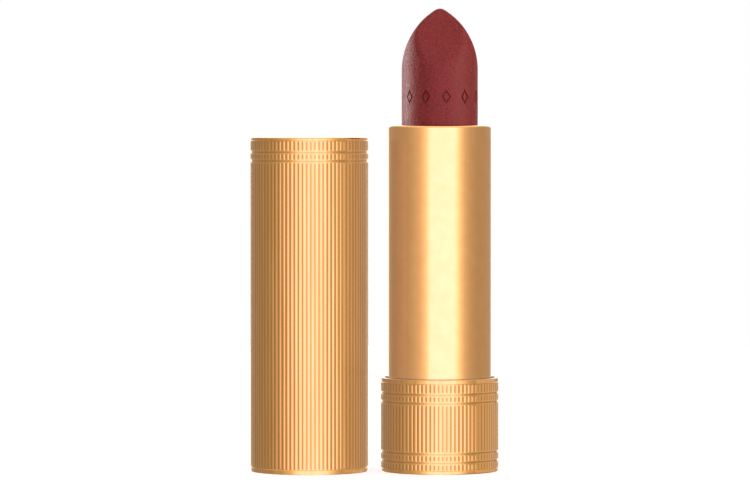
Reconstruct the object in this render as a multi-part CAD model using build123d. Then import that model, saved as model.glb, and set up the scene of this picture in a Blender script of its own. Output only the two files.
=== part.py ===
from build123d import *
from math import cos, pi, radians, sin, sqrt, tan
import os

# A swivel-up lipstick with its cap standing beside it. All sizes are in mm.
# The origin is on the unit's axis at the bottom of the base, with +Z up and -Y to the front.

# Driving sizes. Every diameter is built up from the stick's, wall by wall. The tube is as
# long as the travel needs, and the cap as long as the tube needs.
bullet_od = 12.7
bullet_above_tube = 19.5
travel_down = 24.0
travel_up = 3.0
lead = 20.0
base_height = 15.7
cap_head_room = 8.3
cap_gap = 1.95

# Drawn aluminium
shell_wall = 0.6
shell_edge_round = 0.25
end_thickness = 0.7
tube_wall = 0.48
rim_gap = 0.6
tube_shoulder_round = 0.45
tube_lip_round = 0.2
tube_foot_round = 0.15

# Reeding and ring grooves
reed_count = 86
reed_depth = 0.13
reed_below_lip = 0.05
ring_width = 0.45
ring_depth = 0.25
ring_edge = 0.10
ring_first = 2.49
ring_step = 1.45
foot_ring_first = 1.96
lip_cap_top = 0.55
lip_cap_mouth = 0.75
lip_base_rim = 0.7
lip_base_foot = 0.6

# Named clearances, each measured on the radius
fixed_fit = 0.03
running_fit = 0.06
lug_fit = 0.05
ring_fit = 0.02
cap_fit = 0.05
bullet_gap = 0.27
axial_gap = 0.4
weight_fit = 0.05
cap_weight_fit = 0.1
seat_gap = 0.05

# Mechanism
cup_depth = 8.0
cup_floor = 1.2
cup_wall = 0.48
cup_hole_r = 2.2
cup_head_room = 0.7
bullet_foot_step = 0.25
bullet_step_rise = 0.15
lug_radius = 0.9
lug_above_foot = 0.2
lug_inset = 0.1
slot_end_room = 0.05
slotted_wall = 0.64
slotted_foot_step = 0.6
slotted_stop_gap = 0.4
cam_wall = 0.82
cam_groove_depth = 0.62
cam_head_room = 0.6
cam_end_gap = 0.2
tube_in_base = 4.0
bead_height = 0.8
bead_proud = 0.25
bead_fit = 0.04
bead_side_gap = 0.16
bead_above_tube_foot = 1.4
drag_section = 0.8
drag_side_gap = 0.1
drag_above_tube_foot = 3.0
groove_above_drag = 5.77
spline_count = 8
spline_width = 1.0
spline_height = 0.5

# Base and cap insides
web_thickness = 1.0
web_hole_r = 2.0
insert_skirt = 1.02
weight_base_height = 2.7
weight_top_gap = 0.15
weight_cap_height = 3.4
weight_edge_round = 0.3
weight_end_gap = 0.3
liner_recess = 1.0
liner_end = 1.0
liner_lead_in = 0.35
liner_lead_length = 0.5
label_margin = 2.9
label_gap = 0.5
label_thickness = 0.12
label_recess_depth = 0.25

# Wax stick
arch_height = 10.5
arch_tip_half = 0.55
facet_drop = 9.7
facet_lean_deg = 24.0
dome_height = 8.0
dome_top_r = 2.0
engraving_above_tube = 4.75
engraving_depth = 0.25
engraving_first_deg = -53.0
engraving_step_deg = 31.0
engraving_count = 5
lozenge_width = 1.5
lozenge_height = 2.5
lozenge_line = 0.3

# How far a cutter runs past the surface it cuts
past = 1.0

# Sizes that follow from the ones above
bullet_r = bullet_od / 2
cup_bore_r = bullet_r - bullet_foot_step + fixed_fit
cup_r = cup_bore_r + cup_wall
slotted_bore_r = cup_r + running_fit
slotted_r = slotted_bore_r + slotted_wall
cam_bore_r = slotted_r + running_fit
cam_r = cam_bore_r + cam_wall
tube_bore_r = cam_r + fixed_fit
tube_r = tube_bore_r + tube_wall
shell_bore_r = tube_r + rim_gap
case_r = shell_bore_r + shell_wall
reed_r = case_r - reed_below_lip
insert_r = shell_bore_r - fixed_fit
weight_r = insert_r - insert_skirt - weight_fit
liner_r = shell_bore_r - fixed_fit
liner_bore_r = tube_r + cap_fit
label_recess_r = case_r - label_margin
label_r = label_recess_r - label_gap
lug_reach_r = cam_bore_r + cam_groove_depth - running_fit
tube_foot = base_height - tube_in_base
bead_z = tube_foot + bead_above_tube_foot
drag_z = tube_foot + drag_above_tube_foot
groove_low = drag_z + groove_above_drag
lug_z = groove_low + slot_end_room + lug_radius + travel_down
groove_high = lug_z + travel_up + lug_radius + slot_end_room
cup_foot = lug_z - lug_radius - lug_above_foot
bullet_foot = cup_foot + cup_floor
cup_top = bullet_foot + cup_depth
tube_top = cup_top + travel_up + cup_head_room + tube_wall
bullet_tip = tube_top + bullet_above_tube
facet_foot = bullet_tip - facet_drop
engraving_height = tube_top + engraving_above_tube
cam_foot = tube_foot + cam_end_gap
cam_top = tube_top - tube_wall - cam_head_room
slotted_top = cam_top - cam_end_gap
weight_foot = end_thickness + seat_gap
weight_top = weight_foot + weight_base_height
web_bottom = weight_top + weight_top_gap
web_top = web_bottom + web_thickness
liner_top = tube_top - base_height + cap_head_room + liner_end
cap_weight_low = liner_top + seat_gap
cap_weight_top = cap_weight_low + weight_cap_height
cap_height = cap_weight_top + weight_end_gap + end_thickness
cap_x = -(2 * case_r + cap_gap)


def lathe(outline):
    """Turns an outline of (radius, height) points about the unit's axis."""
    with BuildSketch(Plane.XZ) as sketch:
        with BuildLine():
            Polyline(*outline, close=True)
        make_face()
    return revolve(sketch.sketch, Axis.Z)


def tube(outer_r, inner_r, low, high):
    """A plain ring between two heights."""
    return lathe([(inner_r, low), (outer_r, low), (outer_r, high), (inner_r, high)])


def disc(radius, low, high):
    """A plain cylinder between two heights."""
    return lathe([(0, low), (radius, low), (radius, high), (0, high)])


def reeded_face(crest_r):
    """The reeds in plan: one convex arc each, meeting in sharp valleys."""
    step = 360 / reed_count
    valley_r = crest_r - reed_depth
    with BuildSketch() as sketch:
        with BuildLine():
            for i in range(reed_count):
                a = radians(step * (i - 0.5))
                b = radians(step * i)
                c = radians(step * (i + 0.5))
                start = (valley_r * cos(a), valley_r * sin(a))
                crest = (crest_r * cos(b), crest_r * sin(b))
                end = (valley_r * cos(c), valley_r * sin(c))
                ThreePointArc(start, crest, end)
        make_face()
    return sketch.sketch


def reeded_sleeve(low, high):
    """The waste outside the reeds, ready to cut from a plain shell."""
    plan = Circle(case_r + past) - reeded_face(reed_r)
    return extrude(plan, high - low).moved(Location((0, 0, low)))


def ring_groove(height):
    """One ring groove with bevelled edges, as a cutter."""
    half = ring_width / 2
    floor_r = case_r - ring_depth
    edge_r = reed_r - ring_edge
    flare = half + ring_edge
    out_r = case_r + past
    return lathe(
        [
            (floor_r, height - half),
            (edge_r, height - half),
            (reed_r, height - flare),
            (out_r, height - flare),
            (out_r, height + flare),
            (reed_r, height + flare),
            (edge_r, height + half),
            (floor_r, height + half),
        ]
    )


def reed_and_ring(shell, low, high, ring_heights):
    """Cuts the reeds between two heights and then the ring grooves."""
    shell = shell - reeded_sleeve(low, high)
    for height in ring_heights:
        shell = shell - ring_groove(height)
    return shell


def rounded_edges(shape, radius, height, size):
    """Rounds the circles of one radius at one height."""
    circles = shape.edges().filter_by(GeomType.CIRCLE)
    picked = [
        e
        for e in circles
        if abs(e.radius - radius) < 1e-4 and abs(e.arc_center.Z - height) < 1e-4
    ]
    return fillet(picked, size)


def cap_shell():
    """Drawn cup with its closed end up."""
    cup = disc(case_r, 0, cap_height) - disc(shell_bore_r, -past, cap_height - end_thickness)
    cup = rounded_edges(cup, case_r, cap_height, shell_edge_round)
    cup = rounded_edges(cup, case_r, 0, shell_edge_round / 2)
    rings = [cap_height - ring_first, cap_height - ring_first - ring_step]
    return reed_and_ring(cup, lip_cap_mouth, cap_height - lip_cap_top, rings)


def base_shell():
    """Drawn cup with its closed end down and a recess for the label."""
    cup = disc(case_r, 0, base_height) - disc(shell_bore_r, end_thickness, base_height + past)
    cup = rounded_edges(cup, case_r, 0, shell_edge_round)
    cup = rounded_edges(cup, case_r, base_height, shell_edge_round / 2)
    cup = cup - disc(label_recess_r, -past, label_recess_depth)
    rings = [
        foot_ring_first,
        foot_ring_first + ring_step,
        base_height - ring_first,
        base_height - ring_first - ring_step,
    ]
    return reed_and_ring(cup, lip_base_foot, base_height - lip_base_rim, rings)


def splines(inner_r, outer_r, low, high, width):
    """Straight ribs that stop the slotted tube from turning in its insert."""
    rib = Box(outer_r - inner_r, width, high - low)
    middle = (inner_r + outer_r) / 2
    ribs = []
    for i in range(spline_count):
        turned = rib.moved(Location((middle, 0, (low + high) / 2)))
        ribs.append(turned.rotate(Axis.Z, 360 / spline_count * (i + 0.5)))
    return ribs


def base_insert():
    """Moulded sleeve: a pocket for the weight below the web, a socket above it."""
    top = tube_foot - axial_gap
    body = disc(insert_r, weight_foot, top)
    body = body - disc(weight_r + weight_fit, 0, web_bottom)
    body = body - disc(slotted_r + fixed_fit, web_top, top + past)
    body = body - disc(web_hole_r, 0, top)
    keyways = splines(
        slotted_r - slotted_wall / 2,
        slotted_r + spline_height + fixed_fit,
        web_top,
        top + past,
        spline_width + 2 * fixed_fit,
    )
    for keyway in keyways:
        body = body - keyway
    return body


def base_weight():
    """Turned steel slug under the web."""
    slug = disc(weight_r, weight_foot, weight_top)
    return rounded_edges(slug, weight_r, weight_top, weight_edge_round)


def shade_label():
    """Round sticker in the recess under the base."""
    return disc(label_r, label_recess_depth - label_thickness, label_recess_depth)


def slotted_tube():
    """Inner body: splined foot, snap bead, drag-ring groove and two straight slots."""
    narrow_r = cup_r - slotted_foot_step
    foot = web_top + seat_gap
    step_z = groove_low - slotted_stop_gap
    body = lathe(
        [
            (narrow_r, foot),
            (slotted_r, foot),
            (slotted_r, bead_z - bead_height / 2),
            (slotted_r + bead_proud, bead_z),
            (slotted_r, bead_z + bead_height / 2),
            (slotted_r, slotted_top),
            (slotted_bore_r, slotted_top),
            (slotted_bore_r, step_z),
            (narrow_r, step_z),
        ]
    )
    for rib in splines(
        slotted_r - slotted_wall / 2,
        slotted_r + spline_height,
        foot,
        tube_foot - axial_gap,
        spline_width,
    ):
        body = body + rib
    groove_floor = cam_bore_r - ring_fit - drag_section
    half = drag_section / 2 + drag_side_gap
    body = body - tube(slotted_r + past, groove_floor, drag_z - half, drag_z + half)
    return body - straight_slots()


def straight_slots():
    """The two upright slots that the lugs run in, with round ends."""
    half = lug_radius + lug_fit
    low = lug_z - travel_down
    high = lug_z + travel_up
    middle = (low + high) / 2
    slot = Box(4 * slotted_r, 2 * half, high - low).moved(Location((0, 0, middle)))
    bar = Cylinder(half, 4 * slotted_r, rotation=(0, 90, 0))
    return slot + bar.moved(Location((0, 0, low))) + bar.moved(Location((0, 0, high)))


def drag_ring():
    """Silicone O-ring between the slotted tube and the turning sleeve."""
    section = drag_section / 2
    centre_r = cam_bore_r - ring_fit - section
    return Torus(centre_r, section).moved(Location((0, 0, drag_z)))


def helical_groove():
    """One helical groove, as a ring sector carried up the lead."""
    slope = lead / (2 * pi * cam_bore_r)
    groove_height = 2 * (lug_radius + lug_fit) * sqrt(1 + slope**2)
    half = pi * groove_height / lead
    inner = cam_bore_r - past
    outer = cam_bore_r + cam_groove_depth
    inner_start = (inner * cos(half), -inner * sin(half))
    inner_end = (inner * cos(half), inner * sin(half))
    outer_start = (outer * cos(half), -outer * sin(half))
    outer_end = (outer * cos(half), outer * sin(half))
    with BuildSketch() as sketch:
        with BuildLine():
            Line(inner_start, outer_start)
            ThreePointArc(outer_start, (outer, 0), outer_end)
            Line(outer_end, inner_end)
            ThreePointArc(inner_end, (inner, 0), inner_start)
        make_face()
    # The groove's middle is at the lug, at angle 0, when it passes the lug's height.
    rise = groove_high - groove_low
    start = 360 * (groove_low - lug_z) / lead
    sector = sketch.sketch.faces()[0].moved(Location((0, 0, groove_low)))
    sector = sector.rotate(Axis.Z, start)
    turn = 360 * rise / lead
    return Solid.extrude_linear_with_rotation(sector, (0, 0, groove_low), (0, 0, rise), turn)


def cam_sleeve():
    """Spiral sleeve with two helical grooves inside and a snap groove at its foot."""
    half = bead_height / 2 + bead_side_gap
    wall = tube(cam_r, cam_bore_r, cam_foot, cam_top)
    snap = lathe(
        [
            (cam_bore_r - past, bead_z - half),
            (cam_bore_r, bead_z - half),
            (cam_bore_r + bead_proud + bead_fit, bead_z),
            (cam_bore_r, bead_z + half),
            (cam_bore_r - past, bead_z + half),
        ]
    )
    groove = helical_groove()
    return wall - snap - groove - groove.rotate(Axis.Z, 180)


def tube_shell():
    """Polished tube with its top lip rolled in towards the stick."""
    lip_r = bullet_r + bullet_gap
    lip_low = tube_top - tube_wall
    shell = lathe(
        [
            (tube_bore_r, tube_foot),
            (tube_r, tube_foot),
            (tube_r, tube_top),
            (lip_r, tube_top),
            (lip_r, lip_low),
            (tube_bore_r, lip_low),
        ]
    )
    shell = rounded_edges(shell, tube_r, tube_top, tube_shoulder_round)
    shell = rounded_edges(shell, lip_r, tube_top, tube_lip_round)
    return rounded_edges(shell, tube_r, tube_foot, tube_foot_round)


def elevator_cup():
    """Cup that holds the stick, with two lugs."""
    cup = disc(cup_r, cup_foot, cup_top) - disc(cup_bore_r, bullet_foot, cup_top + past)
    cup = cup - disc(cup_hole_r, cup_foot - past, bullet_foot + past)
    root_r = cup_bore_r + lug_inset
    length = lug_reach_r - root_r
    lug = Cylinder(lug_radius, length, rotation=(0, 90, 0))
    lug = lug.moved(Location((root_r + length / 2, 0, lug_z)))
    return cup + lug + lug.rotate(Axis.Z, 180)


def arch_prism():
    """Pointed arch seen from the front, carried from front to back."""
    low = bullet_foot - past
    spring = bullet_tip - arch_height
    span = bullet_r - arch_tip_half
    arc_r = (arch_height**2 + span**2) / (2 * span)
    mid_z = arch_height / 2
    mid_x = bullet_r - arc_r + sqrt(arc_r**2 - mid_z**2)
    with BuildSketch(Plane.XZ) as sketch:
        with BuildLine():
            Line((-bullet_r, low), (bullet_r, low))
            Line((bullet_r, low), (bullet_r, spring))
            ThreePointArc(
                (bullet_r, spring), (mid_x, spring + mid_z), (arch_tip_half, bullet_tip)
            )
            Line((arch_tip_half, bullet_tip), (-arch_tip_half, bullet_tip))
            ThreePointArc(
                (-arch_tip_half, bullet_tip), (-mid_x, spring + mid_z), (-bullet_r, spring)
            )
            Line((-bullet_r, spring), (-bullet_r, low))
        make_face()
    return extrude(sketch.sketch, bullet_od, both=True)


def facet_prism():
    """The stick seen from the side: upright at the back, a leaning facet at the front."""
    low = bullet_foot - past
    high = bullet_tip + past
    lean = tan(radians(facet_lean_deg))
    start = facet_foot - past / lean
    top_front = -bullet_r + lean * (high - facet_foot)
    with BuildSketch(Plane.YZ) as sketch:
        with BuildLine():
            Polyline(
                (-bullet_r - past, low),
                (-bullet_r - past, start),
                (top_front, high),
                (bullet_r + past, high),
                (bullet_r + past, low),
                close=True,
            )
        make_face()
    return extrude(sketch.sketch, bullet_od, both=True)


def back_dome():
    """Round shoulder that takes the corners off the back of the stick."""
    low = bullet_foot - past
    spring = bullet_tip - dome_height
    span = bullet_r - dome_top_r
    arc_r = (dome_height**2 + span**2) / (2 * span)
    mid_z = dome_height / 2
    mid_x = bullet_r - arc_r + sqrt(arc_r**2 - mid_z**2)
    with BuildSketch(Plane.XZ) as sketch:
        with BuildLine():
            Line((0, low), (bullet_r, low))
            Line((bullet_r, low), (bullet_r, spring))
            ThreePointArc((bullet_r, spring), (mid_x, spring + mid_z), (dome_top_r, bullet_tip))
            Line((dome_top_r, bullet_tip), (0, bullet_tip))
            Line((0, bullet_tip), (0, low))
        make_face()
    return revolve(sketch.sketch, Axis.Z)


def lozenge_frame():
    """A small diamond outline facing +X, as a cutter into the stick's side."""
    half_w = lozenge_width / 2
    half_h = lozenge_height / 2
    outer = Polygon((-half_w, 0), (0, -half_h), (half_w, 0), (0, half_h))
    kept = 1 - lozenge_line * sqrt(half_w**2 + half_h**2) / (half_w * half_h)
    inner = scale(outer, kept)
    plane = Plane(origin=(bullet_r - engraving_depth, 0, 0), x_dir=(0, 1, 0), z_dir=(1, 0, 0))
    return extrude(plane * (outer - inner), engraving_depth + past)


def bullet():
    """Wax stick: arch and facet above, plain cylinder, stepped foot in the cup."""
    foot_r = bullet_r - bullet_foot_step
    body = disc(bullet_r, bullet_foot, bullet_tip) & arch_prism()
    body = body & facet_prism()
    body = body & back_dome()
    step_top = cup_top + bullet_step_rise
    body = body - tube(bullet_r + past, foot_r, bullet_foot - past, step_top)
    frame = lozenge_frame()
    for i in range(engraving_count):
        azimuth = -90 + engraving_first_deg + engraving_step_deg * i
        cutter = frame.moved(Location((0, 0, engraving_height)))
        body = body - cutter.rotate(Axis.Z, azimuth)
    return body


def cap_liner():
    """Moulded sleeve that grips the tube, closed at its upper end."""
    sleeve = disc(liner_r, liner_recess, liner_top) - disc(liner_bore_r, 0, liner_top - liner_end)
    lead_in = lathe(
        [
            (0, liner_recess),
            (liner_bore_r + liner_lead_in, liner_recess),
            (liner_bore_r, liner_recess + liner_lead_length),
            (0, liner_recess + liner_lead_length),
        ]
    )
    return sleeve - lead_in


def cap_weight():
    """Steel disc between the liner and the closed end of the cap."""
    radius = shell_bore_r - cap_weight_fit
    slug = disc(radius, cap_weight_low, cap_weight_top)
    return rounded_edges(slug, radius, cap_weight_top, weight_edge_round)


def at_cap(shape):
    """Moves a cap piece from the unit's axis to where the cap stands."""
    return shape.moved(Location((cap_x, 0, 0)))


os.makedirs("parts", exist_ok=True)

export_step(base_shell(), "parts/base_shell.step")
export_step(base_insert(), "parts/base_insert.step")
export_step(base_weight(), "parts/base_weight.step")
export_step(shade_label(), "parts/shade_label.step")
export_step(slotted_tube(), "parts/slotted_tube.step")
export_step(drag_ring(), "parts/drag_ring.step")
export_step(tube_shell(), "parts/tube_shell.step")
export_step(cam_sleeve(), "parts/cam_sleeve.step")
export_step(elevator_cup(), "parts/elevator_cup.step")
export_step(bullet(), "parts/bullet.step")
export_step(at_cap(cap_shell()), "parts/cap_shell.step")
export_step(at_cap(cap_liner()), "parts/cap_liner.step")
export_step(at_cap(cap_weight()), "parts/cap_weight.step")
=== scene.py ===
import math

import bmesh
import bpy
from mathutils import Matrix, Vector


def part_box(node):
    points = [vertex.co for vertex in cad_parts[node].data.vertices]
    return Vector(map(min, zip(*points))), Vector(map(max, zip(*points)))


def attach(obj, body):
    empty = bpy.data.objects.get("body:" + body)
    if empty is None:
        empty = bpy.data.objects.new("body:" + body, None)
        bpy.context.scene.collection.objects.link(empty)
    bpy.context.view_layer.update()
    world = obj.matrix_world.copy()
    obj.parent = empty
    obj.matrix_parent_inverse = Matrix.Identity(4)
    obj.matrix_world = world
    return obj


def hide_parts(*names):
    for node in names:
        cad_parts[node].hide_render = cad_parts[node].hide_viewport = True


# The looks of a swivel-up lipstick and its cap. Metres throughout, in the CAD frame: +Z is up
# and the front faces -Y. Sizes that the CAD part fixes are read from its boxes.

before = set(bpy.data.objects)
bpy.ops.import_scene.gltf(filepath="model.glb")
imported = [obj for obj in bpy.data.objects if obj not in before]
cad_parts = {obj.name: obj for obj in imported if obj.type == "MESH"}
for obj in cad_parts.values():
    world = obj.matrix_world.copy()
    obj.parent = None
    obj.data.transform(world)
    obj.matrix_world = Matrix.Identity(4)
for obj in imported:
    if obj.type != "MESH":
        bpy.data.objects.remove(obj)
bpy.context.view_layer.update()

MM = 0.001


# ---------------------------------------------------------------- sizes

def middle_x(node):
    """The upright axis of a round CAD node."""
    low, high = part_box(node)
    return (low.x + high.x) / 2


def radius_of(node):
    """Half the depth of a round CAD node."""
    low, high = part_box(node)
    return (high.y - low.y) / 2


case_r = radius_of("cap_shell")
cap_x = middle_x("cap_shell")
cap_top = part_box("cap_shell")[1].z
rim_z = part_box("base_shell")[1].z
tube_r = radius_of("tube_shell")
tube_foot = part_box("tube_shell")[0].z
tube_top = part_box("tube_shell")[1].z
stick_r = radius_of("bullet")
stick_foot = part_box("bullet")[0].z
stick_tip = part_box("bullet")[1].z
cup_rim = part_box("elevator_cup")[1].z

# Drawn shells
shell_wall = 0.6 * MM
end_thickness = 0.7 * MM
foot_round = 0.25 * MM
edge_round = 0.12 * MM
cap_top_round = 0.3 * MM
rim_chamfer = 0.1 * MM
label_recess_r = 7.0 * MM
label_recess_depth = 0.25 * MM
bore_step = 3.0 * MM
bore_margin = 0.06 * MM
lining_below_top = 0.1 * MM
lining_above_foot = 0.5 * MM
reed_crisp_deg = 48

# Reeds and rings
reed_count = 86
reed_columns = 8
reed_drop = 0.05 * MM
reed_depth = 0.08 * MM
reed_end_dip = 0.07 * MM
ring_depth = 0.12 * MM
ring_half = 0.44 * MM
ring_first = 2.49 * MM
ring_step = 1.45 * MM
foot_ring_first = 1.96 * MM
lip_base_foot = 0.6 * MM
lip_base_rim = 0.7 * MM
lip_cap_mouth = 0.75 * MM
lip_cap_top = 0.55 * MM

# Polished tube
tube_wall = 0.48 * MM
tube_shoulder = 0.5 * MM
tube_lip_roll = 0.22 * MM
tube_lip_gap = 0.27 * MM
tube_foot_chamfer = 0.15 * MM
tube_steps = 256
tube_crisp_deg = 40

# Wax stick
arch_height = 10.5 * MM
arch_tip_half = 0.35 * MM
arch_bar_length = 20 * MM
arch_bar_steps = 360
arch_leg = 40 * MM
facet_foot = 67.5 * MM
facet_lean = math.radians(24)
dome_height = 8.0 * MM
dome_top_r = 2.0 * MM
dome_clear = 0.002 * MM
stick_steps = 192
stick_foot_step = 0.25 * MM
stick_foot_rise = 0.15 * MM
stick_crisp_deg = 35
wax_grid = 0.14 * MM
wax_soften_rounds = 5
foot_blend_rounds = 160
tip_round_rounds = 90
tip_round_reach = 1.8 * MM
lozenge_z = 62.45 * MM
lozenge_half_height = 1.25 * MM
lozenge_squeeze = 0.62
lozenge_line = 0.26 * MM
lozenge_depth = 0.25 * MM
lozenge_cutter_reach = 1.2 * MM
lozenge_count = 5
lozenge_first_deg = -53
lozenge_step_deg = 31
spare = 1.0 * MM
touch = 0.01 * MM


# ---------------------------------------------------------------- modelling by hand

def start(maker, name, **settings):
    """Adds one primitive with nothing else selected, and opens it in edit mode."""
    if bpy.context.object and bpy.context.object.mode != "OBJECT":
        bpy.ops.object.mode_set(mode="OBJECT")
    bpy.ops.object.select_all(action="DESELECT")
    maker(**settings)
    obj = bpy.context.object
    obj.name = name
    obj.data.name = name
    bpy.ops.object.mode_set(mode="EDIT")
    bpy.ops.mesh.select_mode(type="VERT")
    return obj


def pick(obj, test, kind="verts"):
    """Selects the vertices or faces whose place passes the test, and counts them."""
    bpy.ops.mesh.select_all(action="DESELECT")
    mesh = bmesh.from_edit_mesh(obj.data)
    count = 0
    for part in getattr(mesh, kind):
        place = part.co if kind == "verts" else part.calc_center_median()
        if test(place):
            part.select_set(True)
            count += 1
    mesh.select_flush_mode()
    bmesh.update_edit_mesh(obj.data)
    return count


def close_edit(obj):
    """Merges doubles, turns every face outwards and leaves edit mode."""
    bpy.ops.mesh.select_all(action="SELECT")
    bpy.ops.mesh.remove_doubles(threshold=1e-7)
    bpy.ops.mesh.normals_make_consistent(inside=False)
    bpy.ops.object.mode_set(mode="OBJECT")
    return obj


def settle(obj):
    """Puts the origin back to the row's, with the mesh in place."""
    bpy.ops.object.select_all(action="DESELECT")
    obj.select_set(True)
    bpy.context.view_layer.objects.active = obj
    bpy.ops.object.transform_apply(location=True, rotation=True, scale=True)
    return obj


def apply(obj, kind, **settings):
    """Adds a modifier with its settings and applies it."""
    bpy.ops.object.select_all(action="DESELECT")
    obj.select_set(True)
    bpy.context.view_layer.objects.active = obj
    modifier = obj.modifiers.new(kind.title(), kind)
    for key, value in settings.items():
        setattr(modifier, key, value)
    bpy.ops.object.modifier_apply(modifier=modifier.name)
    return obj


def smooth(obj, angle_deg):
    """Smooth shading with edges kept sharp above an angle."""
    bpy.ops.object.select_all(action="DESELECT")
    obj.select_set(True)
    bpy.context.view_layer.objects.active = obj
    bpy.ops.object.shade_smooth_by_angle(angle=math.radians(angle_deg))
    return obj


def arc(centre, radius, start_deg, end_deg, count):
    """Points round a circle in the outline's plane, ends included."""
    points = []
    for i in range(count + 1):
        a = math.radians(start_deg + (end_deg - start_deg) * i / count)
        points.append((centre[0] + radius * math.cos(a), centre[1] + radius * math.sin(a)))
    return points


def outline_chain(name, outline):
    """A chain of vertices drawn by extruding one vertex along (radius, height) points."""
    obj = start(bpy.ops.mesh.primitive_plane_add, name, size=MM)
    bpy.ops.mesh.merge(type="CENTER")
    radius, height = outline[0]
    bpy.ops.transform.translate(value=(0, -radius, height))
    for next_radius, next_height in outline[1:]:
        step = (0, radius - next_radius, next_height - height)
        bpy.ops.mesh.extrude_region_move(TRANSFORM_OT_translate={"value": step})
        radius, height = next_radius, next_height
    return obj


def turned(name, outline, steps):
    """A lathe piece about the unit's axis."""
    obj = outline_chain(name, outline)
    bpy.ops.mesh.select_all(action="SELECT")
    bpy.ops.mesh.spin(steps=steps, angle=2 * math.pi, center=(0, 0, 0), axis=(0, 0, 1))
    return close_edit(obj)


# ---------------------------------------------------------------- reeded shells

def ring_rows(height):
    """Rows across one ring groove, upwards: height, how deep, how much reed."""
    shape = [
        (-1.0, 0.0, 1.0),
        (-0.78, 0.0, 0.86),
        (-0.60, 0.08, 0.42),
        (-0.46, 0.30, 0.0),
        (-0.24, 0.90, 0.0),
        (0.0, 1.0, 0.0),
    ]
    rows = [(height + ring_half * u, ring_depth * deep, reed) for u, deep, reed in shape]
    back = [(height - ring_half * u, ring_depth * deep, reed) for u, deep, reed in shape[-2::-1]]
    return rows + back


def reed_end_rows(height, way):
    """Rows where the reeds run out into a plain lip. way is +1 for an upper lip."""
    rows = [
        (height - way * 0.34 * MM, 0.0, 1.0),
        (height - way * 0.20 * MM, 0.02 * MM, 0.85),
        (height - way * 0.10 * MM, reed_end_dip, 0.35),
        (height - way * 0.03 * MM, reed_end_dip, 0.0),
        (height + way * 0.03 * MM, 0.0, 0.0),
    ]
    return rows if way > 0 else rows[::-1]


def skin_rows(low_lip, high_lip, rings):
    """All rows of the outer skin between the lips, upwards."""
    rows = reed_end_rows(low_lip, -1)
    for height in rings:
        rows += ring_rows(height)
    return rows + reed_end_rows(high_lip, 1)


def reeded_shell(name, axis_x, before, rows, after):
    """A shell whose skin is one reed, shaped in rows and columns, then turned all round."""
    outline = list(before)
    for height, deep, reed in rows:
        outline.append((case_r - deep, height))
    outline += list(after)
    obj = outline_chain(name, outline)
    pitch = 2 * math.pi / reed_count
    bpy.ops.mesh.select_all(action="SELECT")
    bpy.ops.transform.rotate(value=pitch / 2, orient_axis="Z", center_override=(0, 0, 0))
    bpy.ops.mesh.spin(steps=reed_columns, angle=pitch, center=(0, 0, 0), axis=(0, 0, 1))
    shape_reed(obj, rows, pitch)
    bpy.ops.mesh.select_all(action="SELECT")
    bpy.ops.mesh.spin(
        steps=reed_count - 1,
        dupli=True,
        angle=pitch * (reed_count - 1),
        center=(0, 0, 0),
        axis=(0, 0, 1),
    )
    close_edit(obj)
    obj.location.x = axis_x
    return smooth(settle(obj), reed_crisp_deg)


def shape_reed(obj, rows, pitch):
    """Pulls each column of the strip in, so that the reed stands between two valleys."""
    mesh = bmesh.from_edit_mesh(obj.data)
    angles = [math.atan2(v.co.x, -v.co.y) for v in mesh.verts if v.co.y < -MM]
    centre = (min(angles) + max(angles)) / 2
    half = reed_columns // 2
    kinds = sorted({(deep, reed) for height, deep, reed in rows if reed > 0})
    for deep, reed in kinds:
        heights = [h for h, d, r in rows if (d, r) == (deep, reed)]
        for column in range(half + 1):
            off = column / half

            def in_column(place):
                if place.y > -case_r * 0.96:
                    return False
                a = math.atan2(place.x, -place.y) - centre
                if abs(abs(a) - off * pitch / 2) > pitch / reed_columns / 4:
                    return False
                return any(abs(place.z - h) < 1e-6 for h in heights)

            radius = case_r - deep
            wanted = radius - reed * (reed_drop + reed_depth * off * off)
            if pick(obj, in_column):
                k = wanted / radius
                bpy.ops.transform.resize(value=(k, k, 1), center_override=(0, 0, 0))


def base_shell():
    """Closed below, with a label recess, and rounded at the rim and the foot."""
    foot = arc((case_r - foot_round, foot_round), foot_round, -90, 0, 4)
    rim = arc((case_r - edge_round, rim_z - edge_round), edge_round, 0, 90, 3)
    recess = [(0, label_recess_depth), (label_recess_r, label_recess_depth), (label_recess_r, 0)]
    rings = [
        foot_ring_first,
        foot_ring_first + ring_step,
        rim_z - ring_first - ring_step,
        rim_z - ring_first,
    ]
    rows = skin_rows(lip_base_foot, rim_z - lip_base_rim, rings)
    bore = case_r - shell_wall
    inner = [(bore + rim_chamfer, rim_z), (bore, rim_z - rim_chamfer), (bore, rim_z - bore_step)]
    bottom = [(bore, end_thickness), (0, end_thickness)]
    return reeded_shell("base_shell_reeded", 0, recess + foot, rows, rim + inner + bottom)


def cap_shell():
    """Closed above and open below, rounded at both ends."""
    bore = case_r - shell_wall
    mouth = arc((case_r - edge_round, edge_round), edge_round, -90, 0, 3)
    shoulder = arc((case_r - cap_top_round, cap_top - cap_top_round), cap_top_round, 0, 90, 4)
    inside = [(0, cap_top - end_thickness), (bore, cap_top - end_thickness), (bore, 0)]
    rings = [cap_top - ring_first - ring_step, cap_top - ring_first]
    rows = skin_rows(lip_cap_mouth, cap_top - lip_cap_top, rings)
    after = shoulder + [(0, cap_top)]
    return reeded_shell("cap_shell_reeded", cap_x, inside + mouth, rows, after)


# ---------------------------------------------------------------- polished tube

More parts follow.
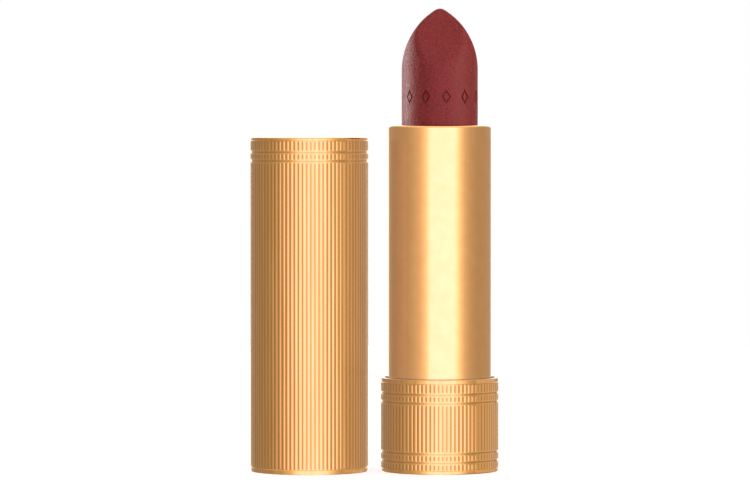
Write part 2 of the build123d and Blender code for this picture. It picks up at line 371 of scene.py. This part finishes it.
def tube_shell():
    """Smooth drawn tube with a round shoulder and its lip rolled in to the stick."""
    lip_r = stick_r + tube_lip_gap
    bore = tube_r - tube_wall
    foot = [
        (bore, tube_foot),
        (tube_r - tube_foot_chamfer, tube_foot),
        (tube_r, tube_foot + tube_foot_chamfer),
    ]
    top = arc((tube_r - tube_shoulder, tube_top - tube_shoulder), tube_shoulder, 0, 90, 8)
    lip = arc((lip_r + tube_lip_roll, tube_top - tube_lip_roll), tube_lip_roll, 90, 180, 4)
    inside = [(lip_r, tube_top - tube_wall), (bore, tube_top - tube_wall), (bore, tube_foot)]
    obj = turned("tube_polished", foot + top + lip + inside, tube_steps)
    return smooth(obj, tube_crisp_deg)


# ---------------------------------------------------------------- wax stick

def arch_side(side):
    """A large round bar lying front to back, which gives one side of the pointed arch."""
    span = stick_r - arch_tip_half
    bar_r = (arch_height**2 + span**2) / (2 * span)
    spring = stick_tip - arch_height
    obj = start(
        bpy.ops.mesh.primitive_cylinder_add,
        "arch_side",
        vertices=arch_bar_steps,
        radius=bar_r,
        depth=arch_bar_length,
        rotation=(math.pi / 2, 0, 0),
        location=(side * (stick_r - bar_r), 0, spring),
    )
    bpy.ops.object.mode_set(mode="OBJECT")
    settle(obj)
    bpy.ops.object.mode_set(mode="EDIT")
    bpy.ops.mesh.select_all(action="SELECT")
    bpy.ops.mesh.bisect(
        plane_co=(0, 0, spring), plane_no=(0, 0, 1), use_fill=True, clear_inner=True
    )
    pick(obj, lambda place: place.z < spring + touch, "faces")
    bpy.ops.mesh.extrude_region_move(TRANSFORM_OT_translate={"value": (0, 0, -arch_leg)})
    return close_edit(obj)


def back_dome():
    """Round shoulder for the back of the stick."""
    span = stick_r - dome_top_r
    big_r = (dome_height**2 + span**2) / (2 * span)
    spring = stick_tip - dome_height
    end_deg = math.degrees(math.asin(dome_height / big_r))
    shoulder = arc((stick_r - big_r, spring), big_r, 0, end_deg, 24)
    outline = [(0, stick_foot - spare), (stick_r + dome_clear, stick_foot - spare)]
    outline += shoulder + [(0, stick_tip)]
    return turned("back_dome", outline, stick_steps)


def combine(obj, tool, operation):
    """Applies one boolean and removes the tool."""
    apply(obj, "BOOLEAN", operation=operation, solver="EXACT", object=tool)
    bpy.data.objects.remove(tool)
    return obj


def lozenge(azimuth_deg):
    """A small diamond outline, standing at the stick's surface, for cutting."""
    obj = start(
        bpy.ops.mesh.primitive_circle_add,
        "lozenge",
        vertices=4,
        radius=lozenge_half_height,
        fill_type="NGON",
        rotation=(math.pi / 2, 0, 0),
        location=(0, -(stick_r - lozenge_depth), lozenge_z),
    )
    bpy.ops.object.mode_set(mode="OBJECT")
    settle(obj)
    bpy.ops.object.mode_set(mode="EDIT")
    bpy.ops.mesh.select_all(action="SELECT")
    bpy.ops.transform.resize(value=(lozenge_squeeze, 1, 1), center_override=(0, 0, lozenge_z))
    bpy.ops.mesh.inset(thickness=lozenge_line, depth=0)
    bpy.ops.mesh.delete(type="FACE")
    bpy.ops.mesh.select_all(action="SELECT")
    reach = (0, -lozenge_cutter_reach, 0)
    bpy.ops.mesh.extrude_region_move(TRANSFORM_OT_translate={"value": reach})
    bpy.ops.mesh.select_all(action="SELECT")
    bpy.ops.mesh.normals_make_consistent(inside=False)
    turn = math.radians(azimuth_deg)
    bpy.ops.transform.rotate(value=-turn, orient_axis="Z", center_override=(0, 0, 0))
    return close_edit(obj)


def blend_facet_foot(obj):
    """Melts the facet's lower edge into the round front, and leaves its sides crisp."""
    group = obj.vertex_groups.new(name="facet_foot")
    for vertex in obj.data.vertices:
        x, y, z = vertex.co / MM
        front = min(max((-y - 3.0) / 1.5, 0), 1)
        band = min(max((z - 64.5) / 2, 0), 1) * min(max((74 - z) / 4, 0), 1)
        if front * band > 0:
            group.add([vertex.index], front * band, "REPLACE")
    apply(obj, "SMOOTH", factor=0.5, iterations=foot_blend_rounds, vertex_group=group.name)
    obj.vertex_groups.clear()


def round_tip(obj):
    """Rounds the tip, which the two bars leave as a blunt ridge."""
    group = obj.vertex_groups.new(name="tip")
    for vertex in obj.data.vertices:
        share = min(max((vertex.co.z - stick_tip + tip_round_reach) / MM, 0), 1)
        if share > 0:
            group.add([vertex.index], share, "REPLACE")
    apply(obj, "SMOOTH", factor=0.5, iterations=tip_round_rounds, vertex_group=group.name)
    obj.vertex_groups.clear()


def stick():
    """Wax stick: turned blank, arch and facet cut, edges softened, then debossed."""
    foot_r = stick_r - stick_foot_step
    step_z = cup_rim + stick_foot_rise
    outline = [(0, stick_foot), (foot_r, stick_foot), (foot_r, step_z), (stick_r, step_z)]
    outline += [(stick_r, stick_tip), (0, stick_tip)]
    obj = turned("stick_wax", outline, stick_steps)
    combine(obj, arch_side(1), "INTERSECT")
    combine(obj, arch_side(-1), "INTERSECT")
    combine(obj, back_dome(), "INTERSECT")
    bpy.ops.object.select_all(action="DESELECT")
    obj.select_set(True)
    bpy.context.view_layer.objects.active = obj
    bpy.ops.object.mode_set(mode="EDIT")
    bpy.ops.mesh.select_all(action="SELECT")
    bpy.ops.mesh.bisect(
        plane_co=(0, -stick_r, facet_foot),
        plane_no=(0, -math.cos(facet_lean), math.sin(facet_lean)),
        use_fill=True,
        clear_outer=True,
    )
    close_edit(obj)
    apply(obj, "REMESH", mode="VOXEL", voxel_size=wax_grid)
    apply(obj, "SMOOTH", factor=0.5, iterations=wax_soften_rounds)
    blend_facet_foot(obj)
    round_tip(obj)
    for i in range(lozenge_count):
        combine(obj, lozenge(lozenge_first_deg + lozenge_step_deg * i), "DIFFERENCE")
    return smooth(obj, stick_crisp_deg)


# ---------------------------------------------------------------- materials

def colour(hex_text):
    """An sRGB hex colour as linear values."""
    values = [int(hex_text[i : i + 2], 16) / 255 for i in (0, 2, 4)]
    linear = [v / 12.92 if v <= 0.04045 else ((v + 0.055) / 1.055) ** 2.4 for v in values]
    return (*linear, 1.0)


def node(tree, kind, inputs=None, **settings):
    """Adds one node, sets it up and links or sets its inputs."""
    made = tree.nodes.new(kind)
    for key, value in settings.items():
        setattr(made, key, value)
    for key, value in (inputs or {}).items():
        if isinstance(value, bpy.types.NodeSocket):
            tree.links.new(value, made.inputs[key])
        else:
            made.inputs[key].default_value = value
    return made


def material(name, **shader):
    """A new material with a Principled shader; returns its tree, shader and place output."""
    made = bpy.data.materials.new(name)
    made.use_nodes = True
    tree = made.node_tree
    tree.nodes.clear()
    bsdf = node(tree, "ShaderNodeBsdfPrincipled", shader)
    node(tree, "ShaderNodeOutputMaterial", {"Surface": bsdf.outputs[0]})
    place = node(tree, "ShaderNodeTexCoord").outputs["Object"]
    return made, tree, bsdf, place


def per_mm(count, stretch=(1, 1, 1)):
    """A pattern's scale for a number of features per millimetre, stretched along the axes."""
    return tuple(s * count / MM for s in stretch)


# Noise keeps near the middle of its range, and this brings it out to the whole of the other.
middle = {"From Min": 0.3, "From Max": 0.7}


def show_on_gold(tree, bsdf, tint, gloss, glow):
    """Gold as the camera sees it, and where other gold mirrors it a painted reflection: a dull
    grey with an even painted glow.
    """
    again = node(tree, "ShaderNodeLightPath").outputs["Is Glossy Ray"]
    # Painted reflection: other pieces' reflections show this dull grey in place of the gold.
    painted_reflection_grey = colour("706D68")
    shown = node(
        tree, "ShaderNodeMix", {"Factor": again, "A": tint, "B": painted_reflection_grey}, data_type="RGBA"
    )
    rough = node(tree, "ShaderNodeMix", {"Factor": again, "A": gloss, "B": 0.65})
    # Painted glow: the piece gives off light only where another piece reflects it.
    lift = node(tree, "ShaderNodeMath", {0: again, 1: glow}, operation="MULTIPLY")
    tree.links.new(shown.outputs["Result"], bsdf.inputs["Base Color"])
    tree.links.new(rough.outputs["Result"], bsdf.inputs["Roughness"])
    tree.links.new(lift.outputs[0], bsdf.inputs["Emission Strength"])
    bsdf.inputs["Emission Color"].default_value = (1, 1, 1, 1)


def painted_valley_shade(tree, place, axis_x):
    """Mask for the painted shade in the reeds' valleys: how deep a point lies in a reed's
    valley, 0 on the crests and rings and 1 at its floor.
    """
    axis = (axis_x, 0, 0)
    local = node(tree, "ShaderNodeVectorMath", {0: place, 1: axis}, operation="SUBTRACT")
    flat = node(
        tree, "ShaderNodeVectorMath", {0: local.outputs[0], 1: (1, 1, 0)}, operation="MULTIPLY"
    )
    length = node(tree, "ShaderNodeVectorMath", {0: flat.outputs[0]}, operation="LENGTH")
    radius = length.outputs["Value"]
    crest = case_r - reed_drop
    valley = crest - reed_depth
    below_crest = {"Value": radius, "From Min": crest - 0.012 * MM, "From Max": valley}
    down = node(tree, "ShaderNodeMapRange", below_crest)
    above_ring = {
        "Value": radius,
        "From Min": valley - 0.025 * MM,
        "From Max": valley - 0.005 * MM,
    }
    reeded = node(tree, "ShaderNodeMapRange", above_ring)
    facing = node(tree, "ShaderNodeNewGeometry").outputs["True Normal"]
    tilt = node(tree, "ShaderNodeSeparateXYZ", {"Vector": facing}).outputs["Z"]
    slope = node(tree, "ShaderNodeMath", {0: tilt}, operation="ABSOLUTE")
    level = {"Value": slope.outputs[0], "From Max": 0.3, "To Min": 1.0, "To Max": 0.0}
    upright = node(tree, "ShaderNodeMapRange", level)
    reed = node(
        tree, "ShaderNodeMath", {0: down.outputs[0], 1: upright.outputs[0]}, operation="MULTIPLY"
    )
    both = node(
        tree, "ShaderNodeMath", {0: reed.outputs[0], 1: reeded.outputs[0]}, operation="MULTIPLY"
    )
    return both.outputs[0]


def satin_gold(name, axis_x, glow):
    """Rolled and gold-anodised aluminium: satin crests, and painted shade that darkens the
    valleys.
    """
    made, tree, bsdf, place = material(name, Metallic=1.0)
    # Upright streaks 0.8 mm apart from the drawing, and a fine etched grain
    drawn = node(
        tree, "ShaderNodeMapping", {"Vector": place, "Scale": per_mm(1.3, (1, 1, 0.04))}
    )
    streaks = node(
        tree, "ShaderNodeTexNoise", {"Vector": drawn.outputs[0], "Scale": 1.0, "Detail": 3.0}
    )
    etched = node(tree, "ShaderNodeMapping", {"Vector": place, "Scale": per_mm(8, (1, 1, 0.5))})
    grain = node(
        tree, "ShaderNodeTexNoise", {"Vector": etched.outputs[0], "Scale": 1.0, "Detail": 2.0}
    )
    streaked = node(tree, "ShaderNodeMapRange", {"Value": streaks.outputs[0], **middle})
    crest = node(
        tree,
        "ShaderNodeMix",
        {"Factor": streaked.outputs[0], "A": colour("EBB06A"), "B": colour("DFA05C")},
        data_type="RGBA",
    )
    # Painted shade: the reeds' valleys are tinted a darker brown gold, standing in for the shade
    # that falls between the reeds.
    deep = painted_valley_shade(tree, place, axis_x)
    tint = node(
        tree,
        "ShaderNodeMix",
        {"Factor": deep, "A": crest.outputs["Result"], "B": colour("B3763A")},
        data_type="RGBA",
    )
    satin = {"Value": grain.outputs[0], "To Min": 0.17, "To Max": 0.23, **middle}
    gloss = node(tree, "ShaderNodeMapRange", satin)
    show_on_gold(tree, bsdf, tint.outputs["Result"], gloss.outputs[0], glow)
    relief = node(
        tree, "ShaderNodeBump", {"Height": grain.outputs[0], "Distance": 0.0007 * MM}
    )
    tree.links.new(relief.outputs[0], bsdf.inputs["Normal"])
    return made


def bare_aluminium():
    """The shell's undyed inside: grey metal with the drawing tool's upright lines."""
    made, tree, bsdf, place = material("aluminium_bare_drawn", Metallic=1.0)
    drawn = node(tree, "ShaderNodeMapping", {"Vector": place, "Scale": per_mm(6, (1, 1, 0.05))})
    lines = node(
        tree, "ShaderNodeTexNoise", {"Vector": drawn.outputs[0], "Scale": 1.0, "Detail": 3.0}
    )
    lined = node(tree, "ShaderNodeMapRange", {"Value": lines.outputs[0], **middle})
    tint = node(
        tree,
        "ShaderNodeMix",
        {"Factor": lined.outputs[0], "A": colour("8A8B90"), "B": colour("77787D")},
        data_type="RGBA",
    )
    scored = {"Value": lines.outputs[0], "To Min": 0.3, "To Max": 0.45, **middle}
    gloss = node(tree, "ShaderNodeMapRange", scored)
    tree.links.new(tint.outputs["Result"], bsdf.inputs["Base Color"])
    tree.links.new(gloss.outputs[0], bsdf.inputs["Roughness"])
    return made


def bright_gold():
    """Polished and gold-anodised tube: near-mirror with a faint upright draw texture."""
    made, tree, bsdf, place = material("gold_anodised_polished", Metallic=1.0)
    drawn = node(tree, "ShaderNodeMapping", {"Vector": place, "Scale": per_mm(5, (1, 1, 0.03))})
    streaks = node(
        tree, "ShaderNodeTexNoise", {"Vector": drawn.outputs[0], "Scale": 1.0, "Detail": 3.0}
    )
    # The dye takes a little unevenly, in clouds about 2 mm across
    dyed = node(tree, "ShaderNodeMapping", {"Vector": place, "Scale": per_mm(0.5)})
    haze = node(
        tree, "ShaderNodeTexNoise", {"Vector": dyed.outputs[0], "Scale": 1.0, "Detail": 4.0}
    )
    clouded = node(tree, "ShaderNodeMapRange", {"Value": haze.outputs[0], **middle})
    tint = node(
        tree,
        "ShaderNodeMix",
        {"Factor": clouded.outputs[0], "A": colour("FAB876"), "B": colour("F6B26E")},
        data_type="RGBA",
    )
    polished = {"Value": streaks.outputs[0], "To Min": 0.13, "To Max": 0.19, **middle}
    gloss = node(tree, "ShaderNodeMapRange", polished)
    show_on_gold(tree, bsdf, tint.outputs["Result"], gloss.outputs[0], neighbour_glow)
    relief = node(
        tree, "ShaderNodeBump", {"Height": streaks.outputs[0], "Distance": 0.0012 * MM}
    )
    tree.links.new(relief.outputs[0], bsdf.inputs["Normal"])
    return made


def matte_wax():
    """Moulded matte lip wax: a dense pigment with a dusty bloom and fine pits."""
    made, tree, bsdf, place = material(
        "lip_wax_moulded",
        **{
            "IOR": 1.4,
            "Specular IOR Level": 0.22,
            "Subsurface Weight": 0.1,
            "Subsurface Radius": (1.0, 0.35, 0.25),
            "Subsurface Scale": 0.3 * MM,
        },
    )
    # Pigment clouds 3 mm across, and a dusty grain drawn coarse enough to show, 0.3 mm
    stirred = node(tree, "ShaderNodeMapping", {"Vector": place, "Scale": per_mm(0.35)})
    cloud = node(
        tree, "ShaderNodeTexNoise", {"Vector": stirred.outputs[0], "Scale": 1.0, "Detail": 4.0}
    )
    dusty = node(tree, "ShaderNodeMapping", {"Vector": place, "Scale": per_mm(3.6)})
    grain = node(
        tree, "ShaderNodeTexNoise", {"Vector": dusty.outputs[0], "Scale": 1.0, "Detail": 3.0}
    )
    clouded = node(tree, "ShaderNodeMapRange", {"Value": cloud.outputs[0], **middle})
    tint = node(
        tree,
        "ShaderNodeMix",
        {"Factor": clouded.outputs[0], "A": colour("561710"), "B": colour("4C1711")},
        data_type="RGBA",
    )
    dusted = node(tree, "ShaderNodeMapRange", {"Value": grain.outputs[0], **middle})
    speck = node(
        tree,
        "ShaderNodeMix",
        {"Factor": dusted.outputs[0], "A": tint.outputs["Result"], "B": colour("79251D")},
        data_type="RGBA",
    )
    matte = {"Value": grain.outputs[0], "To Min": 0.34, "To Max": 0.66, **middle}
    gloss = node(tree, "ShaderNodeMapRange", matte)
    pits = node(tree, "ShaderNodeBump", {"Height": grain.outputs[0], "Distance": 0.09 * MM})
    tree.links.new(speck.outputs["Result"], bsdf.inputs["Base Color"])
    tree.links.new(gloss.outputs[0], bsdf.inputs["Roughness"])
    tree.links.new(pits.outputs[0], bsdf.inputs["Normal"])
    return made


def moulded_plastic(name, pale, dark, low, high):
    """Injection-moulded plastic: one colour with a fine spark-eroded mould grain."""
    made, tree, bsdf, place = material(name, IOR=1.49)
    eroded = node(tree, "ShaderNodeMapping", {"Vector": place, "Scale": per_mm(3)})
    grain = node(
        tree, "ShaderNodeTexNoise", {"Vector": eroded.outputs[0], "Scale": 1.0, "Detail": 3.0}
    )
    spotted = node(tree, "ShaderNodeMapRange", {"Value": grain.outputs[0], **middle})
    tint = node(
        tree,
        "ShaderNodeMix",
        {"Factor": spotted.outputs[0], "A": colour(pale), "B": colour(dark)},
        data_type="RGBA",
    )
    sheen = {"Value": grain.outputs[0], "To Min": low, "To Max": high, **middle}
    gloss = node(tree, "ShaderNodeMapRange", sheen)
    relief = node(tree, "ShaderNodeBump", {"Height": grain.outputs[0], "Distance": 0.004 * MM})
    tree.links.new(tint.outputs["Result"], bsdf.inputs["Base Color"])
    tree.links.new(gloss.outputs[0], bsdf.inputs["Roughness"])
    tree.links.new(relief.outputs[0], bsdf.inputs["Normal"])
    return made


def turned_steel():
    """Turned steel slug, zinc plated: fine rings from the lathe tool."""
    made, tree, bsdf, place = material("steel_turned_zinc", Metallic=1.0)
    turned_down = per_mm(4, (0.1, 0.1, 1))
    lathe = node(tree, "ShaderNodeMapping", {"Vector": place, "Scale": turned_down})
    rings = node(
        tree, "ShaderNodeTexNoise", {"Vector": lathe.outputs[0], "Scale": 1.0, "Detail": 2.0}
    )
    ringed = node(tree, "ShaderNodeMapRange", {"Value": rings.outputs[0], **middle})
    tint = node(
        tree,
        "ShaderNodeMix",
        {"Factor": ringed.outputs[0], "A": colour("B9BBBD"), "B": colour("A7A9AC")},
        data_type="RGBA",
    )
    plated = {"Value": rings.outputs[0], "To Min": 0.28, "To Max": 0.42, **middle}
    gloss = node(tree, "ShaderNodeMapRange", plated)
    tree.links.new(tint.outputs["Result"], bsdf.inputs["Base Color"])
    tree.links.new(gloss.outputs[0], bsdf.inputs["Roughness"])
    return made


def plain_paper():
    """Uncoated sticker paper: warm white with loose fibres."""
    made, tree, bsdf, place = material("paper_sticker", Roughness=0.85)
    pressed = node(tree, "ShaderNodeMapping", {"Vector": place, "Scale": per_mm(2, (1, 3, 1))})
    fibres = node(
        tree, "ShaderNodeTexNoise", {"Vector": pressed.outputs[0], "Scale": 1.0, "Detail": 5.0}
    )
    flecked = node(tree, "ShaderNodeMapRange", {"Value": fibres.outputs[0], **middle})
    tint = node(
        tree,
        "ShaderNodeMix",
        {"Factor": flecked.outputs[0], "A": colour("EFEAE0"), "B": colour("E2DBCD")},
        data_type="RGBA",
    )
    relief = node(tree, "ShaderNodeBump", {"Height": fibres.outputs[0], "Distance": 0.01 * MM})
    tree.links.new(tint.outputs["Result"], bsdf.inputs["Base Color"])
    tree.links.new(relief.outputs[0], bsdf.inputs["Normal"])
    return made


def dress(obj, made):
    """Gives an object one material."""
    obj.data.materials.clear()
    obj.data.materials.append(made)


def line_inside(obj, axis_x, low, high):
    """Gives the bore of a shell, between two heights, the bare metal."""
    obj.data.materials.append(bare_metal)
    for face in obj.data.polygons:
        reach = math.hypot(face.center.x - axis_x, face.center.y)
        if reach < case_r - shell_wall + bore_margin and low < face.center.z < high:
            face.material_index = 1


# ---------------------------------------------------------------- build the object

cap = cap_shell()
base = base_shell()
tube = tube_shell()
wax = stick()

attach(cap, "cap")
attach(base, "base")
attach(tube, "tube")
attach(wax, "carrier")
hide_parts("cap_shell")
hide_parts("base_shell")
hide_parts("tube_shell")
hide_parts("bullet")

# How strongly each piece's painted glow shows in its neighbours' reflections
cap_glow = 0.33
neighbour_glow = 0.55

bare_metal = bare_aluminium()
dress(cap, satin_gold("gold_anodised_cap", cap_x, cap_glow))
dress(base, satin_gold("gold_anodised_base", 0, neighbour_glow))
dress(tube, bright_gold())
line_inside(cap, cap_x, -MM, cap_top - lining_below_top)
line_inside(base, 0, lining_above_foot, rim_z)
dress(wax, matte_wax())

black = moulded_plastic("abs_black_moulded", "17171A", "101012", 0.42, 0.55)
white = moulded_plastic("pom_white_moulded", "E4E3DD", "D8D6CE", 0.30, 0.42)
grey = moulded_plastic("pp_grey_moulded", "9EA0A3", "8F9194", 0.32, 0.45)
silicone = moulded_plastic("silicone_red_moulded", "B4503C", "A5452F", 0.5, 0.65)
steel = turned_steel()
inner_looks = {
    "base_insert": black,
    "cap_liner": black,
    "slotted_tube": white,
    "elevator_cup": white,
    "cam_sleeve": grey,
    "drag_ring": silicone,
    "base_weight": steel,
    "cap_weight": steel,
    "shade_label": plain_paper(),
}
for name, look in inner_looks.items():
    dress(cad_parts[name], look)
    smooth(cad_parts[name], 35)


# ---------------------------------------------------------------- studio

floor_r = 420 * MM
floor_place = (-10 * MM, 0, -0.02 * MM)
floor_lift = 0.55
overhead = 0.33
panel_height = 90 * MM
stick_panel = (140 * MM, 200 * MM)
reed_panel = (600 * MM, 400 * MM)
camera_lens_mm = 225.6
camera_place = (-10.8 * MM, -784 * MM, 60.2 * MM)
camera_dip_deg = 1.58


def floor():
    """Plain pale sheet that the object stands on."""
    made, tree, bsdf, place = material("paper_sweep_white", Roughness=0.9)
    rolled = node(tree, "ShaderNodeMapping", {"Vector": place, "Scale": per_mm(0.02)})
    mottle = node(
        tree, "ShaderNodeTexNoise", {"Vector": rolled.outputs[0], "Scale": 1.0, "Detail": 3.0}
    )
    mottled = node(tree, "ShaderNodeMapRange", {"Value": mottle.outputs[0], **middle})
    tint = node(
        tree,
        "ShaderNodeMix",
        {"Factor": mottled.outputs[0], "A": colour("C4C3C1"), "B": colour("C0BFBD")},
        data_type="RGBA",
    )
    seen = node(tree, "ShaderNodeLightPath").outputs["Is Camera Ray"]
    lift = node(tree, "ShaderNodeMath", {0: seen, 1: floor_lift}, operation="MULTIPLY")
    tree.links.new(tint.outputs["Result"], bsdf.inputs["Base Color"])
    tree.links.new(lift.outputs[0], bsdf.inputs["Emission Strength"])
    bsdf.inputs["Emission Color"].default_value = colour("FFFFFF")
    bpy.ops.object.select_all(action="DESELECT")
    bpy.ops.mesh.primitive_circle_add(
        vertices=96, radius=floor_r, fill_type="NGON", location=floor_place
    )
    sheet = bpy.context.object
    sheet.name = "floor"
    dress(sheet, made)
    sheet.visible_glossy = False


def studio_light():
    """A large soft front light with darker sides, as one smooth surround."""
    world = bpy.data.worlds.new("studio")
    bpy.context.scene.world = world
    world.use_nodes = True
    tree = world.node_tree
    tree.nodes.clear()
    way = node(tree, "ShaderNodeTexCoord").outputs["Generated"]
    parts = node(tree, "ShaderNodeSeparateXYZ", {"Vector": way}).outputs
    back = node(tree, "ShaderNodeMath", {0: parts["Y"], 1: -1.0}, operation="MULTIPLY")
    turn = node(tree, "ShaderNodeMath", {0: parts["X"], 1: back.outputs[0]}, operation="ARCTAN2")
    share = node(
        tree,
        "ShaderNodeMapRange",
        {"Value": turn.outputs[0], "From Min": -math.pi, "From Max": math.pi},
    )
    ramp = node(tree, "ShaderNodeValToRGB", {"Fac": share.outputs[0]})
    stops = [
        (-180, 2.4), (-166, 2.2), (-152, 0.5), (-110, 0.46), (-78, 0.52), (-61, 0.66),
        (-47, 0.82), (-36, 1.1), (-28, 1.6), (-22, 2.65), (32, 2.7), (40, 1.8), (48, 1.15),
        (57, 0.8), (70, 0.62), (90, 0.50), (152, 0.5), (166, 2.2), (180, 2.4),
    ]
    full = 3.6
    panel_tint = (0.97, 0.78, 1.22)
    while len(ramp.color_ramp.elements) < len(stops):
        ramp.color_ramp.elements.new(0.5)
    for element, (azimuth, level) in zip(ramp.color_ramp.elements, stops):
        element.position = (azimuth + 180) / 360
        red, green, blue = panel_tint if level > 2.5 else (1, 1, 1)
        element.color = (red * level / full, green * level / full, blue * level / full, 1)
    height = node(
        tree,
        "ShaderNodeMapRange",
        {"Value": parts["Z"], "From Min": 0.45, "From Max": 0.85},
    )
    over = node(tree, "ShaderNodeMix", data_type="RGBA")
    tree.links.new(height.outputs[0], over.inputs["Factor"])
    tree.links.new(ramp.outputs[0], over.inputs["A"])
    over.inputs["B"].default_value = (overhead, overhead, overhead, 1)
    lit = node(tree, "ShaderNodeBackground", {"Color": over.outputs["Result"], "Strength": full})
    plain = node(tree, "ShaderNodeBackground", {"Color": (1, 1, 1, 1), "Strength": 1.0})
    seen = node(tree, "ShaderNodeLightPath").outputs["Is Camera Ray"]
    both = node(tree, "ShaderNodeMixShader", {0: seen, 1: lit.outputs[0], 2: plain.outputs[0]})
    node(tree, "ShaderNodeOutputWorld", {"Surface": both.outputs[0]})


def panel_light(name, lit, place, size, power):
    """A soft upright panel, flagged so that only the listed pieces get it."""
    bpy.ops.object.select_all(action="DESELECT")
    bpy.ops.object.light_add(type="AREA", location=place)
    lamp = bpy.context.object
    lamp.name = name
    lamp.data.shape = "RECTANGLE"
    lamp.data.size = size[0]
    lamp.data.size_y = size[1]
    lamp.data.energy = power
    lamp.visible_camera = False
    flagged = bpy.data.collections.new(name + "_lit")
    for obj in lit:
        flagged.objects.link(obj)
    lamp.light_linking.receiver_collection = flagged
    aim = Vector((0, 0, place[2])) - lamp.location
    lamp.rotation_mode = "QUATERNION"
    lamp.rotation_quaternion = aim.to_track_quat("-Z", "Y")


def camera():
    """Level with the top of the tube, far away, with a long lens."""
    data = bpy.data.cameras.new("camera")
    data.lens = camera_lens_mm
    data.sensor_width = 36
    data.clip_start = 0.05
    data.clip_end = 20
    cam = bpy.data.objects.new("camera", data)
    bpy.context.scene.collection.objects.link(cam)
    cam.location = camera_place
    cam.rotation_euler = (math.radians(90 - camera_dip_deg), 0, 0)
    bpy.context.scene.camera = cam


floor()
studio_light()
panel_light("rim_light", [wax], (-330 * MM, 180 * MM, panel_height), stick_panel, 1.9)
panel_light("side_light", [wax], (330 * MM, -170 * MM, panel_height), stick_panel, 1.0)
panel_light("reed_light", [cap, base], (480 * MM, 130 * MM, 60 * MM), reed_panel, 0.26)
camera()
bpy.context.scene.view_settings.view_transform = "Standard"
